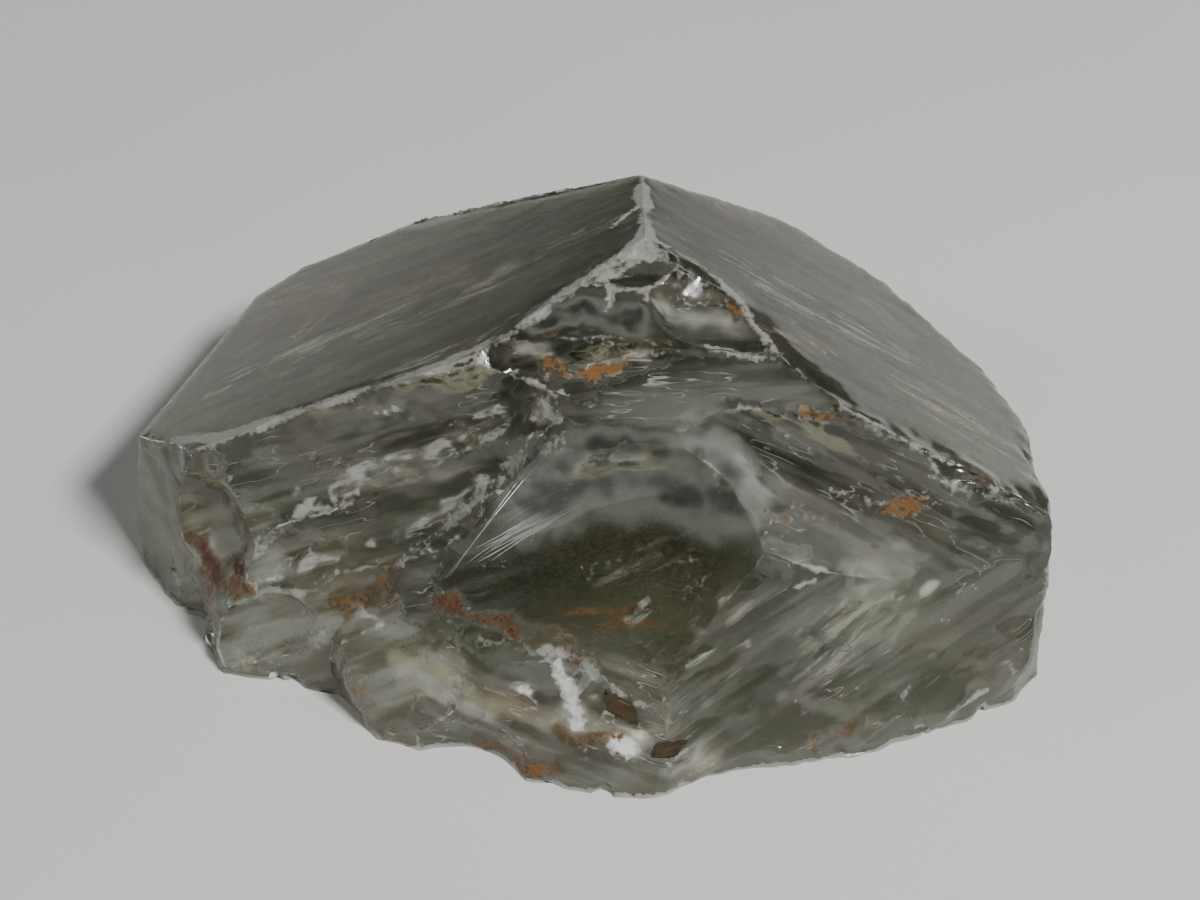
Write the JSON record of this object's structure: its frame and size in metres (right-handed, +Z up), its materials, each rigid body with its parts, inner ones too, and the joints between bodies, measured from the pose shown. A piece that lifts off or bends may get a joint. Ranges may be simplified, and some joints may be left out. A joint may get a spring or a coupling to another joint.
{
  "type": "goshenite crystal",
  "caption": "Rough clear beryl crystal with two flat pyramid faces meeting in a ridge, a step-fractured rust-stained front and a flat broken base that it rests on.",
  "frame": {"origin": "centre of the crystal's box on the plane of its flat base", "axes": "+X along the long side to the viewer's right, +Y from the broken front towards the back, +Z up from the base"},
  "size_m": [0.0326, 0.0236, 0.0139],
  "materials": {
    "crystal": "clear, faintly smoky olive beryl, glossy on fresh breaks, satin and frosted on worn ridges, with rust stains in the chips"
  },
  "bodies": {
    "root": {"crystal": "crystal"}
  },
  "joints": []
}
